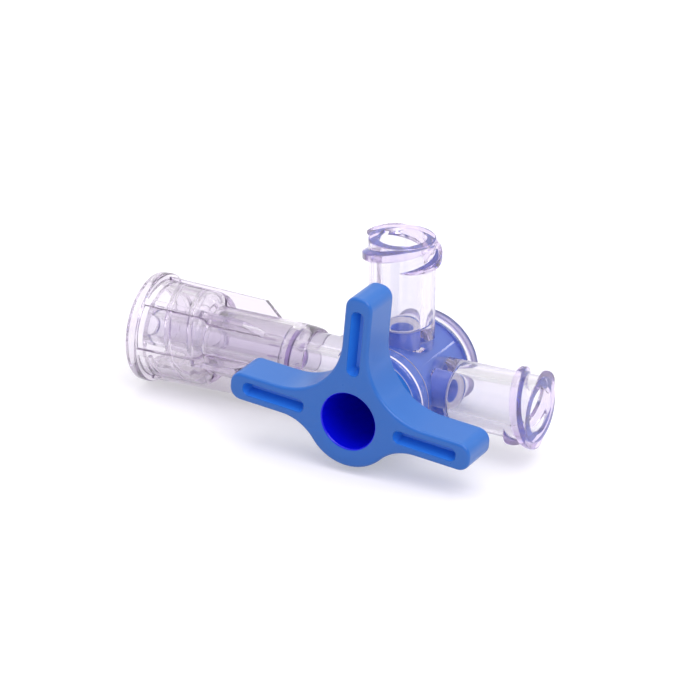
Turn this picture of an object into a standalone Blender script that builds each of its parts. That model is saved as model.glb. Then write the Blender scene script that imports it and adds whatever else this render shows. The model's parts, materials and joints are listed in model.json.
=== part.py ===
"""Three way stopcock with a T handle and a turning luer lock collar.

Metres, +Z up. The plug turns about Y, the in-line port and the male stem lie along X,
and the side port stands along +Z. The three axes meet in one point, the crossing.
"""
import math

import bmesh
import bpy
from mathutils import Matrix, Vector

# Roundness of turned shapes
TURN_FACETS = 48
BORE_FACETS = 36
ARC_FACETS = 8
LUG_STEP_DEG = 8.0

# Clearances
RUN_CLEARANCE = 0.00005
AXIAL_CLEARANCE = 0.0003
CUT_OVERRUN = 0.001
MERGE_DISTANCE = 0.000001

# Barrel that holds the plug, along Y from its front rim to its rear flange
BARREL_FRONT = 0.0055
BARREL_REAR = 0.0058
BARREL_FRONT_RADIUS = 0.00493
BARREL_REAR_RADIUS = 0.00505
BARREL_EDGE = 0.0002
FLANGE_RADIUS = 0.0056
FLANGE_THICKNESS = 0.00125
FLANGE_EDGE = 0.0003
FLANGE_FILLET = 0.00035
RECESS_RADIUS = 0.0042
RECESS_DEPTH = 0.0023
SNAP_RECESS_RADIUS = 0.00455
SNAP_RECESS_DEPTH = 0.0009

# Female luer ports, both alike
PORT_REACH = 0.01515
PORT_ROOT_RADIUS = 0.0032
PORT_END_RADIUS = 0.0033
PORT_EDGE = 0.00012
LUER_DEPTH = 0.0091
LUER_OPEN_RADIUS = 0.00215
LUER_TAPER_SHARE = 0.03
LUER_CHAMFER = 0.00027
LUMEN_RADIUS = 0.0011

# Lugs of the luer lock, a thread of two starts that a flat cuts off
LUG_RADIUS = 0.0039
LUG_LEAD = 0.005
LUG_ROOT_WIDTH = 0.0013
LUG_CREST_WIDTH = 0.00075
LUG_CENTRE_FROM_END = 0.0022
LUG_BAND = 0.0025
LUG_SETBACK = 0.00008
LUG_SINK = 0.0004
LUG_STARTS = 2

# Male stem, along -X
STEM_ROOT_RADIUS = 0.0032
STEM_STEP = 0.0070
STEM_RADIUS = 0.00297
STEM_EDGE = 0.0001
STEM_SHOULDER = 0.0204
GROOVE_START = 0.0109
GROOVE_WIDTH = 0.0013
GROOVE_DEPTH = 0.00027
CONE_TIP = 0.0280
CONE_TIP_RADIUS = 0.00197
CONE_TIP_EDGE = 0.0002
CONE_TAPER_SHARE = 0.03
STEM_LUMEN_RADIUS = 0.0010

# Plug of the handle, along Y
PLUG_FRONT_RADIUS = 0.00385
PLUG_REAR_RADIUS = 0.00375
SNAP_BEAD = 0.0005
SNAP_BEAD_WIDTH = 0.00045
PLUG_NOSE = 0.00015
PLUG_NOSE_RADIUS = 0.0036
SHOULDER_CLEARANCE = 0.0001
CHANNEL_RADIUS = 0.0011
REAR_CORE_RADIUS = 0.0021
REAR_CORE_FLOOR = 0.0022

# T handle, a plate with three arms in front of the barrel
HANDLE_FRONT = 0.01115
HANDLE_BACK = 0.0066
HANDLE_TURN_DEG = 5.4
HUB_RADIUS = 0.0048
ARM_REACH = 0.0131
ARM_HALF_WIDTH = 0.00143
ARM_TIP_ROUND = 0.0012
ARM_CROTCH_RADIUS = 0.0065
ARM_LOWER_FILLET = 0.0047
HANDLE_EDGE = 0.0003
HOLE_RADIUS = 0.00285
HOLE_FLOOR = 0.0024
HOLE_FLOOR_RADIUS = 0.0027
HOLE_CHAMFER = 0.00025
SLOT_START = 0.0049
SLOT_END = 0.01165
SLOT_WIDTH = 0.00135
SLOT_FLOOR_WIDTH = 0.00035
SLOT_DEPTH = 0.0015

# Turning collar round the stem, from its rim at -X to its rounded sleeve
COLLAR_RIM = 0.0283
COLLAR_END = 0.0095
LIP_WIDTH = 0.0011
LIP_RADIUS = 0.00555
LIP_EDGE = 0.0002
CUP_RADIUS = 0.0049
CUP_REAR_RADIUS = 0.0047
CUP_SHOULDER = 0.0205
CUP_FLOOR_THICKNESS = 0.0008
CUP_BORE_RADIUS = 0.0040
MOUTH_RADIUS = 0.0043
MOUTH_DEPTH = 0.0018
SLEEVE_RADIUS = 0.00348
NOSE_LENGTH = 0.0031
NOSE_RADIUS = 0.00322
SNAP_RIB_CLEARANCE = 0.00018
RIB_COUNT = 6
RIB_ANGLE_DEG = 38.0
RIB_THICKNESS = 0.00075
RIB_RIM_RADIUS = 0.00523
RIB_REAR_RADIUS = 0.0049
FIN_END = 0.0161
FIN_TOE = 0.0141
FIN_TOE_RADIUS = 0.00338

# Colours and finish
CLEAR_COLOUR = (0.80, 0.76, 0.93, 1.0)
COLLAR_COLOUR = (0.78, 0.72, 0.86, 1.0)
BLUE_COLOUR = (0.045, 0.16, 0.58, 1.0)
CLEAR_ALPHA = 0.45
CLEAR_ROUGHNESS = 0.06
BLUE_ROUGHNESS = 0.32

# The crossing of the axes, seen from the middle of the part's footprint
CROSSING = Vector((
    (COLLAR_RIM - PORT_REACH) / 2,
    (HANDLE_FRONT - BARREL_REAR) / 2,
    FLANGE_RADIUS,
))

AXIS_Z = Matrix.Identity(4)
AXIS_X = Matrix.Rotation(math.radians(90), 4, "Y")
AXIS_MINUS_X = Matrix.Rotation(math.radians(-90), 4, "Y")
AXIS_Y = Matrix.Rotation(math.radians(-90), 4, "X")


def clear_scene():
    """Remove whatever the file opened with."""
    for obj in list(bpy.data.objects):
        bpy.data.objects.remove(obj, do_unlink=True)


def make_material(name, colour, roughness, alpha=1.0):
    """One Principled finish."""
    material = bpy.data.materials.new(name)
    material.use_nodes = True
    shader = material.node_tree.nodes["Principled BSDF"]
    shader.inputs["Base Color"].default_value = colour
    shader.inputs["Roughness"].default_value = roughness
    shader.inputs["Metallic"].default_value = 0.0
    shader.inputs["Alpha"].default_value = alpha
    return material


def add_empty(name, parent, place):
    """A datum that carries other objects."""
    empty = bpy.data.objects.new(name, None)
    bpy.context.collection.objects.link(empty)
    empty.parent = parent
    empty.location = place
    return empty


def add_object(name, bm, parent):
    """Turn a finished bmesh into an object under its datum."""
    bmesh.ops.remove_doubles(bm, verts=bm.verts, dist=MERGE_DISTANCE)
    bmesh.ops.recalc_face_normals(bm, faces=bm.faces)
    mesh = bpy.data.meshes.new(name)
    bm.to_mesh(mesh)
    bm.free()
    obj = bpy.data.objects.new(name, mesh)
    bpy.context.collection.objects.link(obj)
    obj.parent = parent
    return obj


def as_tool(obj):
    """Mark a shape that only joins or cuts another."""
    obj.hide_render = True
    obj.display_type = "WIRE"
    return obj


def boolean(obj, tool, operation):
    """Join, cut or trim an object with a tool shape."""
    step = obj.modifiers.new(operation.lower() + "_" + tool.name, "BOOLEAN")
    step.operation = operation
    step.solver = "EXACT"
    step.object = tool


def turned(name, outline, axis, parent, facets=TURN_FACETS):
    """A solid of revolution from (along, radius) points, turned about its axis."""
    bm = bmesh.new()
    points = [bm.verts.new((radius, 0, along)) for along, radius in outline]
    edges = [bm.edges.new(pair) for pair in zip(points, points[1:])]
    on_axis = outline[0][1] == 0 and outline[-1][1] == 0
    if not on_axis:
        edges.append(bm.edges.new((points[-1], points[0])))
    bmesh.ops.spin(
        bm, geom=points + edges, cent=(0, 0, 0), axis=(0, 0, 1),
        angle=math.tau, steps=facets, use_merge=True,
    )
    bmesh.ops.remove_doubles(bm, verts=bm.verts, dist=MERGE_DISTANCE)
    bmesh.ops.dissolve_degenerate(bm, dist=MERGE_DISTANCE, edges=bm.edges)
    bmesh.ops.transform(bm, matrix=axis, verts=bm.verts)
    return add_object(name, bm, parent)


def shade_round(obj, angle_deg=35.0):
    """Smooth shading with the real edges kept sharp."""
    obj.data.shade_smooth()
    obj.data.set_sharp_from_angle(angle=math.radians(angle_deg))


def arc(centre, radius, start_deg, end_deg, facets=ARC_FACETS):
    """Points along an arc, both ends included."""
    points = []
    for step in range(facets + 1):
        angle = math.radians(start_deg + (end_deg - start_deg) * step / facets)
        points.append((centre[0] + radius * math.cos(angle), centre[1] + radius * math.sin(angle)))
    return points


def rounded_corner(along, radius, size, start_deg, end_deg):
    """A small quarter round in an (along, radius) outline, about its own centre."""
    return arc((along, radius), size, start_deg, end_deg, facets=2)


def barrel_outline():
    """Outside of the barrel, front rim to rear flange."""
    flange_front = BARREL_REAR - FLANGE_THICKNESS
    outline = [(-BARREL_FRONT, 0), (-BARREL_FRONT, BARREL_FRONT_RADIUS - BARREL_EDGE)]
    outline.append((-BARREL_FRONT + BARREL_EDGE, BARREL_FRONT_RADIUS))
    outline.append((flange_front - FLANGE_FILLET, BARREL_REAR_RADIUS))
    outline.append((flange_front, BARREL_REAR_RADIUS + FLANGE_FILLET))
    outline.append((flange_front, FLANGE_RADIUS - FLANGE_EDGE))
    outline += rounded_corner(flange_front + FLANGE_EDGE, FLANGE_RADIUS - FLANGE_EDGE,
                              FLANGE_EDGE, 180, 90)[1:]
    outline += rounded_corner(BARREL_REAR - FLANGE_EDGE, FLANGE_RADIUS - FLANGE_EDGE,
                              FLANGE_EDGE, 90, 0)
    outline.append((BARREL_REAR, 0))
    return outline


def plug_bore_outline():
    """Inside of the barrel: handle recess, tapered seat and snap recess."""
    recess_floor = RECESS_DEPTH - BARREL_FRONT
    snap_floor = BARREL_REAR - SNAP_RECESS_DEPTH
    return [
        (-BARREL_FRONT - CUT_OVERRUN, 0),
        (-BARREL_FRONT - CUT_OVERRUN, RECESS_RADIUS),
        (recess_floor, RECESS_RADIUS),
        (recess_floor, PLUG_FRONT_RADIUS + RUN_CLEARANCE),
        (snap_floor, PLUG_REAR_RADIUS + RUN_CLEARANCE),
        (snap_floor, SNAP_RECESS_RADIUS),
        (BARREL_REAR + CUT_OVERRUN, SNAP_RECESS_RADIUS),
        (BARREL_REAR + CUT_OVERRUN, 0),
    ]


def port_outline():
    """Outside of a female port, drafted towards the barrel."""
    return [
        (LUMEN_RADIUS, 0),
        (LUMEN_RADIUS, PORT_ROOT_RADIUS),
        (PORT_REACH - PORT_EDGE, PORT_END_RADIUS),
        (PORT_REACH, PORT_END_RADIUS - PORT_EDGE),
        (PORT_REACH, 0),
    ]


def luer_bore_outline():
    """Tapered luer bore with its lead-in, and the lumen behind it."""
    floor = PORT_REACH - LUER_DEPTH
    floor_radius = LUER_OPEN_RADIUS - LUER_TAPER_SHARE * LUER_DEPTH
    return [
        (LUMEN_RADIUS, 0),
        (LUMEN_RADIUS, LUMEN_RADIUS),
        (floor, LUMEN_RADIUS),
        (floor, floor_radius),
        (PORT_REACH - LUER_CHAMFER, LUER_OPEN_RADIUS),
        (PORT_REACH + CUT_OVERRUN, LUER_OPEN_RADIUS + LUER_CHAMFER + CUT_OVERRUN),
        (PORT_REACH + CUT_OVERRUN, 0),
    ]


def stem_outline():
    """Outside of the male stem: root, neck with its groove, shoulder and luer cone."""
    groove_radius = STEM_RADIUS - GROOVE_DEPTH
    cone_root_radius = CONE_TIP_RADIUS + CONE_TAPER_SHARE * (CONE_TIP - STEM_SHOULDER)
    return [
        (STEM_LUMEN_RADIUS, 0),
        (STEM_LUMEN_RADIUS, STEM_ROOT_RADIUS),
        (STEM_STEP - STEM_EDGE, STEM_ROOT_RADIUS),
        (STEM_STEP, STEM_ROOT_RADIUS - STEM_EDGE),
        (STEM_STEP, STEM_RADIUS),
        (GROOVE_START, STEM_RADIUS),
        (GROOVE_START, groove_radius),
        (GROOVE_START + GROOVE_WIDTH, groove_radius),
        (GROOVE_START + GROOVE_WIDTH, STEM_RADIUS),
        (STEM_SHOULDER - STEM_EDGE, STEM_RADIUS),
        (STEM_SHOULDER, STEM_RADIUS - STEM_EDGE),
        (STEM_SHOULDER, cone_root_radius),
        (CONE_TIP - CONE_TIP_EDGE, CONE_TIP_RADIUS),
        (CONE_TIP, CONE_TIP_RADIUS - CONE_TIP_EDGE),
        (CONE_TIP, 0),
    ]


def stem_lumen_outline():
    """Straight lumen from the plug seat out through the cone."""
    return [
        (STEM_LUMEN_RADIUS, 0),
        (STEM_LUMEN_RADIUS, STEM_LUMEN_RADIUS),
        (CONE_TIP + CUT_OVERRUN, STEM_LUMEN_RADIUS),
        (CONE_TIP + CUT_OVERRUN, 0),
    ]


def lug_band(name, axis, parent):
    """The short stretch of a port that its lugs are trimmed to."""
    top = PORT_REACH - LUG_SETBACK
    outline = [(PORT_REACH - LUG_BAND, 0), (PORT_REACH - LUG_BAND, LUG_RADIUS + CUT_OVERRUN),
               (top, LUG_RADIUS + CUT_OVERRUN), (top, 0)]
    return as_tool(turned(name, outline, axis, parent, BORE_FACETS))


def lug(name, axis, start_deg, band, parent):
    """One start of the luer lock thread, swept round the port and trimmed to its band."""
    rise = LUG_BAND + LUG_ROOT_WIDTH
    sweep_deg = 360.0 * rise / LUG_LEAD
    below = LUG_BAND + LUG_ROOT_WIDTH / 2 - LUG_CENTRE_FROM_END
    first_deg = start_deg - 360.0 * below / LUG_LEAD
    steps = math.ceil(sweep_deg / LUG_STEP_DEG)
    base = PORT_REACH - LUG_BAND - LUG_ROOT_WIDTH / 2
    root = PORT_ROOT_RADIUS - LUG_SINK
    section = [
        (root, base - LUG_ROOT_WIDTH / 2),
        (PORT_END_RADIUS, base - LUG_ROOT_WIDTH / 2),
        (LUG_RADIUS, base - LUG_CREST_WIDTH / 2),
        (LUG_RADIUS, base + LUG_CREST_WIDTH / 2),
        (PORT_END_RADIUS, base + LUG_ROOT_WIDTH / 2),
        (root, base + LUG_ROOT_WIDTH / 2),
    ]
    bm = bmesh.new()
    first = [bm.verts.new((radius, 0, height)) for radius, height in section]
    loop = [bm.edges.new((first[i - 1], first[i])) for i in range(len(first))]
    swept = bmesh.ops.spin(
        bm, geom=first + loop, cent=(0, 0, 0), axis=(0, 0, 1),
        dvec=(0, 0, rise / steps), angle=math.radians(sweep_deg), steps=steps,
    )
    last = [item for item in swept["geom_last"] if isinstance(item, bmesh.types.BMVert)]
    bm.faces.new(first)
    bmesh.ops.contextual_create(bm, geom=last)
    turn = Matrix.Rotation(math.radians(first_deg), 4, "Z")
    bmesh.ops.transform(bm, matrix=axis @ turn, verts=bm.verts)
    obj = as_tool(add_object(name, bm, parent))
    boolean(obj, band, "INTERSECT")
    return obj


def female_port(body, name, axis, parent):
    """Join one female port with its lugs to the body, and bore it."""
    boolean(body, as_tool(turned(name, port_outline(), axis, parent)), "UNION")
    band = lug_band(name + "_lug_band", axis, parent)
    for start in range(LUG_STARTS):
        start_deg = 360.0 * start / LUG_STARTS
        piece = lug("%s_lug_%d" % (name, start + 1), axis, start_deg, band, parent)
        boolean(body, piece, "UNION")
    bore = turned(name + "_bore", luer_bore_outline(), axis, parent, BORE_FACETS)
    return as_tool(bore)


def stopcock_body(parent, material):
    """The clear one-piece body: barrel, two female ports and the male stem."""
    body = turned("stopcock_body", barrel_outline(), AXIS_Y, parent)
    side_bore = female_port(body, "side_port", AXIS_Z, parent)
    inline_bore = female_port(body, "inline_port", AXIS_X, parent)
    stem = as_tool(turned("male_stem", stem_outline(), AXIS_MINUS_X, parent))
    boolean(body, stem, "UNION")
    boolean(body, as_tool(turned("plug_bore", plug_bore_outline(), AXIS_Y, parent)), "DIFFERENCE")
    boolean(body, side_bore, "DIFFERENCE")
    boolean(body, inline_bore, "DIFFERENCE")
    lumen = turned("stem_lumen", stem_lumen_outline(), AXIS_MINUS_X, parent, BORE_FACETS)
    boolean(body, as_tool(lumen), "DIFFERENCE")
    body.data.materials.append(material)
    shade_round(body)
    return body


def arm_tip(turn_deg):
    """Rounded end of one arm, read in the handle's own plane, right side first."""
    inner = ARM_HALF_WIDTH - ARM_TIP_ROUND
    reach = ARM_REACH - ARM_TIP_ROUND
    local = arc((reach, -inner), ARM_TIP_ROUND, -90, 0, 4) + arc((reach, inner), ARM_TIP_ROUND, 0, 90, 4)
    turn = Matrix.Rotation(math.radians(turn_deg), 2)
    return [tuple(turn @ Vector(point)) for point in local]


def handle_outline():
    """Outline of the T plate, anticlockwise from the tip of the right arm."""
    crotch = ARM_HALF_WIDTH + ARM_CROTCH_RADIUS
    low = ARM_HALF_WIDTH + ARM_LOWER_FILLET
    span = math.sqrt((HUB_RADIUS + ARM_LOWER_FILLET) ** 2 - low ** 2)
    hub_deg = math.degrees(math.atan2(low, span))
    outline = arm_tip(0)
    outline += arc((crotch, crotch), ARM_CROTCH_RADIUS, 270, 180)
    outline += arm_tip(90)
    outline += arc((-crotch, crotch), ARM_CROTCH_RADIUS, 0, -90)
    outline += arm_tip(180)
    outline += arc((-span, -low), ARM_LOWER_FILLET, 90, hub_deg)
    outline += arc((0, 0), HUB_RADIUS, 180 + hub_deg, 360 - hub_deg, 2 * ARC_FACETS)[1:-1]
    outline += arc((span, -low), ARM_LOWER_FILLET, 180 - hub_deg, 90)
    return outline


def handle_plate(parent):
    """The T plate, extruded towards its front, with its outer edges rounded."""
    bm = bmesh.new()
    corners = [bm.verts.new((x, -HANDLE_BACK, z)) for x, z in handle_outline()]
    back = bm.faces.new(corners)
    grown = bmesh.ops.extrude_face_region(bm, geom=[back], use_keep_orig=True)
    front = [item for item in grown["geom"] if isinstance(item, bmesh.types.BMVert)]
    bmesh.ops.translate(bm, vec=(0, HANDLE_BACK - HANDLE_FRONT, 0), verts=front)
    rims = [edge for edge in bm.edges if abs(edge.verts[0].co.y - edge.verts[1].co.y) < MERGE_DISTANCE]
    bmesh.ops.bevel(
        bm, geom=rims, offset=HANDLE_EDGE, offset_type="OFFSET", segments=2,
        profile=0.5, affect="EDGES", material=-1,
    )
    return add_object("handle_plug", bm, parent)


def plug_outline():
    """Outside of the plug: shoulder in the recess, tapered seat, snap bead and nose."""
    recess_floor = RECESS_DEPTH - BARREL_FRONT
    shoulder = recess_floor - AXIAL_CLEARANCE
    shoulder_radius = RECESS_RADIUS - SHOULDER_CLEARANCE
    bead = BARREL_REAR - SNAP_RECESS_DEPTH + AXIAL_CLEARANCE
    bead_end = bead + SNAP_BEAD_WIDTH
    bead_radius = PLUG_REAR_RADIUS + SNAP_BEAD
    sunk = (HANDLE_FRONT + HANDLE_BACK) / 2
    return [
        (-sunk, 0),
        (-sunk, shoulder_radius),
        (shoulder, shoulder_radius),
        (shoulder, PLUG_FRONT_RADIUS),
        (bead, PLUG_REAR_RADIUS),
        (bead, bead_radius),
        (bead + SNAP_BEAD_WIDTH / 2, bead_radius),
        (bead_end, PLUG_REAR_RADIUS),
        (bead_end + PLUG_NOSE, PLUG_NOSE_RADIUS),
        (bead_end + PLUG_NOSE, 0),
    ]


def front_hole_outline():
    """Blind round hole in the front of the handle."""
    return [
        (-HANDLE_FRONT - CUT_OVERRUN, 0),
        (-HANDLE_FRONT - CUT_OVERRUN, HOLE_RADIUS + HOLE_CHAMFER + CUT_OVERRUN),
        (-HANDLE_FRONT + HOLE_CHAMFER, HOLE_RADIUS),
        (-HOLE_FLOOR, HOLE_FLOOR_RADIUS),
        (-HOLE_FLOOR, 0),
    ]


def rear_core_outline():
    """Blind core in the rear end of the plug."""
    return [
        (REAR_CORE_FLOOR, 0),
        (REAR_CORE_FLOOR, REAR_CORE_RADIUS),
        (BARREL_REAR + CUT_OVERRUN, REAR_CORE_RADIUS),
        (BARREL_REAR + CUT_OVERRUN, 0),
    ]


def channel_tool(name, start, end, axis, parent):
    """One straight leg of the T channel through the plug."""
    outline = [(start, 0), (start, CHANNEL_RADIUS), (end, CHANNEL_RADIUS), (end, 0)]
    return as_tool(turned(name, outline, axis, parent, BORE_FACETS))


def slot_tool(name, turn_deg, parent):
    """Cored slot along the front of one arm, narrower at its floor."""
    bm = bmesh.new()
    length = SLOT_END - SLOT_START
    middle = (SLOT_START + SLOT_END) / 2
    mouth_half = SLOT_WIDTH / 2
    floor_half = SLOT_FLOOR_WIDTH / 2
    floor = -HANDLE_FRONT + SLOT_DEPTH
    mouth = -HANDLE_FRONT
    over = mouth - CUT_OVERRUN
    loops = []
    for y, half in ((floor, floor_half), (mouth, mouth_half), (over, mouth_half)):
        inset = mouth_half - half
        reach = length / 2 - inset
        corners = ((-reach, -half), (reach, -half), (reach, half), (-reach, half))
        loops.append([bm.verts.new((middle + u, y, w)) for u, w in corners])
    for lower, upper in zip(loops, loops[1:]):
        for i in range(len(lower)):
            bm.faces.new((lower[i - 1], lower[i], upper[i], upper[i - 1]))
    bm.faces.new(loops[0])
    bm.faces.new(loops[-1])
    turn = Matrix.Rotation(math.radians(-turn_deg), 4, "Y")
    bmesh.ops.transform(bm, matrix=turn, verts=bm.verts)
    return as_tool(add_object(name, bm, parent))


def handle_plug(pivot, material):
    """The blue handle and its plug, one moulding that turns about Y."""
    handle = handle_plate(pivot)
    boolean(handle, as_tool(turned("plug_turning", plug_outline(), AXIS_Y, pivot)), "UNION")
    boolean(handle, as_tool(turned("front_hole", front_hole_outline(), AXIS_Y, pivot)), "DIFFERENCE")
    boolean(handle, as_tool(turned("rear_core", rear_core_outline(), AXIS_Y, pivot, BORE_FACETS)),
            "DIFFERENCE")
    past_wall = PLUG_FRONT_RADIUS + CUT_OVERRUN
    through = channel_tool("channel_through", -past_wall, past_wall, AXIS_X, pivot)
    branch = channel_tool("channel_branch", 0, past_wall, AXIS_Z, pivot)
    boolean(handle, through, "DIFFERENCE")
    boolean(handle, branch, "DIFFERENCE")
    for name, turn_deg in (("slot_right", 0), ("slot_up", 90), ("slot_left", 180)):
        boolean(handle, slot_tool(name, turn_deg, pivot), "DIFFERENCE")
    handle.data.materials.append(material)
    shade_round(handle)
    return handle


def collar_outline():
    """Section of the collar: cup with lip, shoulder, sleeve, rounded end and snap rib."""
    bore = STEM_RADIUS + RUN_CLEARANCE
    rib_radius = STEM_RADIUS - GROOVE_DEPTH + RUN_CLEARANCE
    rib_start = GROOVE_START + SNAP_RIB_CLEARANCE
    rib_end = GROOVE_START + GROOVE_WIDTH - SNAP_RIB_CLEARANCE
    lip_end = COLLAR_RIM - LIP_WIDTH
    floor = CUP_SHOULDER + CUP_FLOOR_THICKNESS
    outline = [(COLLAR_RIM, MOUTH_RADIUS), (COLLAR_RIM, LIP_RADIUS - LIP_EDGE)]
    outline += [(COLLAR_RIM - LIP_EDGE, LIP_RADIUS), (lip_end + LIP_EDGE, LIP_RADIUS)]
    outline += [(lip_end, LIP_RADIUS - LIP_EDGE), (lip_end, CUP_RADIUS)]
    outline += [(CUP_SHOULDER + LIP_EDGE, CUP_REAR_RADIUS), (CUP_SHOULDER, CUP_REAR_RADIUS - LIP_EDGE)]
    outline += [(CUP_SHOULDER, SLEEVE_RADIUS), (COLLAR_END + NOSE_LENGTH, SLEEVE_RADIUS)]
    outline += nose_points()
    outline += [(COLLAR_END, bore), (rib_start, bore), (rib_start, rib_radius)]
    outline += [(rib_end, rib_radius), (rib_end, bore), (floor, bore), (floor, CUP_BORE_RADIUS)]
    outline += [(COLLAR_RIM - MOUTH_DEPTH, CUP_BORE_RADIUS)]
    outline += [(COLLAR_RIM - MOUTH_DEPTH + MOUTH_RADIUS - CUP_BORE_RADIUS, MOUTH_RADIUS)]
    return outline


def nose_points():
    """Rounded end of the sleeve, a quarter of an ellipse that the end face cuts."""
    drop = SLEEVE_RADIUS - NOSE_RADIUS
    points = []
    for step in range(1, ARC_FACETS // 2 + 1):
        angle = math.radians(90.0 * step / (ARC_FACETS // 2))
        along = COLLAR_END + NOSE_LENGTH * (1 - math.sin(angle))
        points.append((along, SLEEVE_RADIUS - drop * (1 - math.cos(angle))))
    return points


def rib_tool(name, turn_deg, parent):
    """One grip rib along the cup that goes on as a fin over the sleeve."""
    sunk = (CUP_BORE_RADIUS + CUP_REAR_RADIUS) / 2
    sleeve_sunk = (STEM_RADIUS + RUN_CLEARANCE + SLEEVE_RADIUS) / 2
    shoulder = CUP_SHOULDER + CUP_FLOOR_THICKNESS / 2
    outline = [
        (COLLAR_RIM - LIP_WIDTH / 2, sunk),
        (COLLAR_RIM - LIP_WIDTH / 2, RIB_RIM_RADIUS),
        (FIN_END, RIB_REAR_RADIUS),
        (FIN_TOE, FIN_TOE_RADIUS),
        (FIN_TOE, sleeve_sunk),
        (shoulder, sleeve_sunk),
        (shoulder, sunk),
    ]
    bm = bmesh.new()
    half = RIB_THICKNESS / 2
    face = bm.faces.new([bm.verts.new((-along, -half, radius)) for along, radius in outline])
    grown = bmesh.ops.extrude_face_region(bm, geom=[face], use_keep_orig=True)
    moved = [item for item in grown["geom"] if isinstance(item, bmesh.types.BMVert)]
    bmesh.ops.translate(bm, vec=(0, RIB_THICKNESS, 0), verts=moved)
    turn = Matrix.Rotation(math.radians(turn_deg), 4, "X")
    bmesh.ops.transform(bm, matrix=turn, verts=bm.verts)
    return as_tool(add_object(name, bm, parent))


def rotating_collar(parent, material):
    """The clear collar that turns about the male stem."""
    collar = turned("rotating_collar", collar_outline(), AXIS_MINUS_X, parent)
    for number in range(RIB_COUNT):
        turn_deg = RIB_ANGLE_DEG + 360.0 * number / RIB_COUNT
        boolean(collar, rib_tool("collar_rib_%d" % (number + 1), turn_deg, parent), "UNION")
    collar.data.materials.append(material)
    shade_round(collar)
    return collar


def build():
    """Set the three mouldings out from the crossing of their axes."""
    clear_scene()
    crossing = add_empty("crossing", None, CROSSING)
    pivot = add_empty("handle_pivot", crossing, Vector((0, 0, 0)))
    pivot.rotation_euler = (0, math.radians(HANDLE_TURN_DEG), 0)
    clear = make_material("clear_polycarbonate", CLEAR_COLOUR, CLEAR_ROUGHNESS, CLEAR_ALPHA)
    lilac = make_material("lilac_polycarbonate", COLLAR_COLOUR, CLEAR_ROUGHNESS, CLEAR_ALPHA)
    blue = make_material("blue_polyethylene", BLUE_COLOUR, BLUE_ROUGHNESS)
    stopcock_body(crossing, clear)
    handle_plug(pivot, blue)
    rotating_collar(crossing, lilac)


build()
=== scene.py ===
"""Looks of a clear three way stopcock with a blue T handle and a turning luer lock collar.

Metres, +Z up. Each moulding is shaped about the crossing of the ports' and the plug's axes,
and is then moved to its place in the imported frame.
"""
import json
import math

import bmesh
import bpy
from mathutils import Matrix, Vector


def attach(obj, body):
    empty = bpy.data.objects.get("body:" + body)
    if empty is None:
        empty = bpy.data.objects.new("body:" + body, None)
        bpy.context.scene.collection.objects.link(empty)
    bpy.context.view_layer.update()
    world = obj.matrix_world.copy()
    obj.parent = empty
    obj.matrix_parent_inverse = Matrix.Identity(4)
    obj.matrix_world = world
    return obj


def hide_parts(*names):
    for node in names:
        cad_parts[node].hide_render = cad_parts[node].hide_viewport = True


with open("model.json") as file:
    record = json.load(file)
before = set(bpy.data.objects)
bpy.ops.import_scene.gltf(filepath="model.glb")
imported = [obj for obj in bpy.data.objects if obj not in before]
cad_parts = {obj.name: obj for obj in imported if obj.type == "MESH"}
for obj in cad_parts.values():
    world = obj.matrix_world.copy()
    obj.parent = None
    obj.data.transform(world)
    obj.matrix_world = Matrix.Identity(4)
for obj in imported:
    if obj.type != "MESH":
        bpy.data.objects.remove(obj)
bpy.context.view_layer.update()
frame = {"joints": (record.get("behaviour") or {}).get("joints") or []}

MM = 0.001

# Fineness of the turned and swept shapes
TURN_FACETS = 144
BORE_FACETS = 96
ARC_FACETS = 10
ROUND_FACETS = 4
LUG_STEP_DEG = 4.0
SHARP_DEG = 32.0
MERGE_DISTANCE = 0.0005 * MM
CUT_OVERRUN = 1.0 * MM

# Barrel
BARREL_FRONT = 5.5 * MM
BARREL_REAR = 5.8 * MM
BARREL_FRONT_RADIUS = 4.93 * MM
BARREL_REAR_RADIUS = 5.05 * MM
BARREL_EDGE = 0.5 * MM
FLANGE_RADIUS = 5.6 * MM
FLANGE_THICKNESS = 1.25 * MM
FLANGE_EDGE = 0.3 * MM
FLANGE_FILLET = 0.35 * MM
RECESS_RADIUS = 4.2 * MM
RECESS_DEPTH = 2.3 * MM
RECESS_EDGE = 0.12 * MM
SNAP_RECESS_RADIUS = 4.55 * MM
SNAP_RECESS_DEPTH = 0.9 * MM

# Female luer ports
PORT_REACH = 15.15 * MM
PORT_ROOT_RADIUS = 3.2 * MM
PORT_END_RADIUS = 3.3 * MM
PORT_EDGE = 0.16 * MM
LUER_DEPTH = 9.2 * MM
LUER_OPEN_RADIUS = 2.15 * MM
LUER_TAPER_SHARE = 0.03
LUER_CHAMFER = 0.27 * MM
LUER_FLOOR_EDGE = 0.35 * MM
LUMEN_RADIUS = 1.1 * MM

# Luer lock lugs
LUG_RADIUS = 3.9 * MM
LUG_LEAD = 5.0 * MM
LUG_ROOT_WIDTH = 1.3 * MM
LUG_CREST_WIDTH = 0.75 * MM
LUG_CREST_EDGE = 0.12 * MM
LUG_CENTRE_FROM_END = 2.2 * MM
LUG_BAND = 2.5 * MM
LUG_SETBACK = 0.08 * MM
LUG_SINK = 0.4 * MM
LUG_STARTS = 2

# Male stem
STEM_ROOT_RADIUS = 3.2 * MM
STEM_STEP = 7.0 * MM
STEM_RADIUS = 2.97 * MM
STEM_EDGE = 0.1 * MM
STEM_SHOULDER = 20.4 * MM
GROOVE_START = 10.9 * MM
GROOVE_WIDTH = 1.3 * MM
GROOVE_DEPTH = 0.27 * MM
CONE_TIP = 28.0 * MM
CONE_TIP_RADIUS = 1.97 * MM
CONE_TIP_EDGE = 0.2 * MM
CONE_TAPER_SHARE = 0.03
STEM_LUMEN_RADIUS = 1.0 * MM

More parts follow.
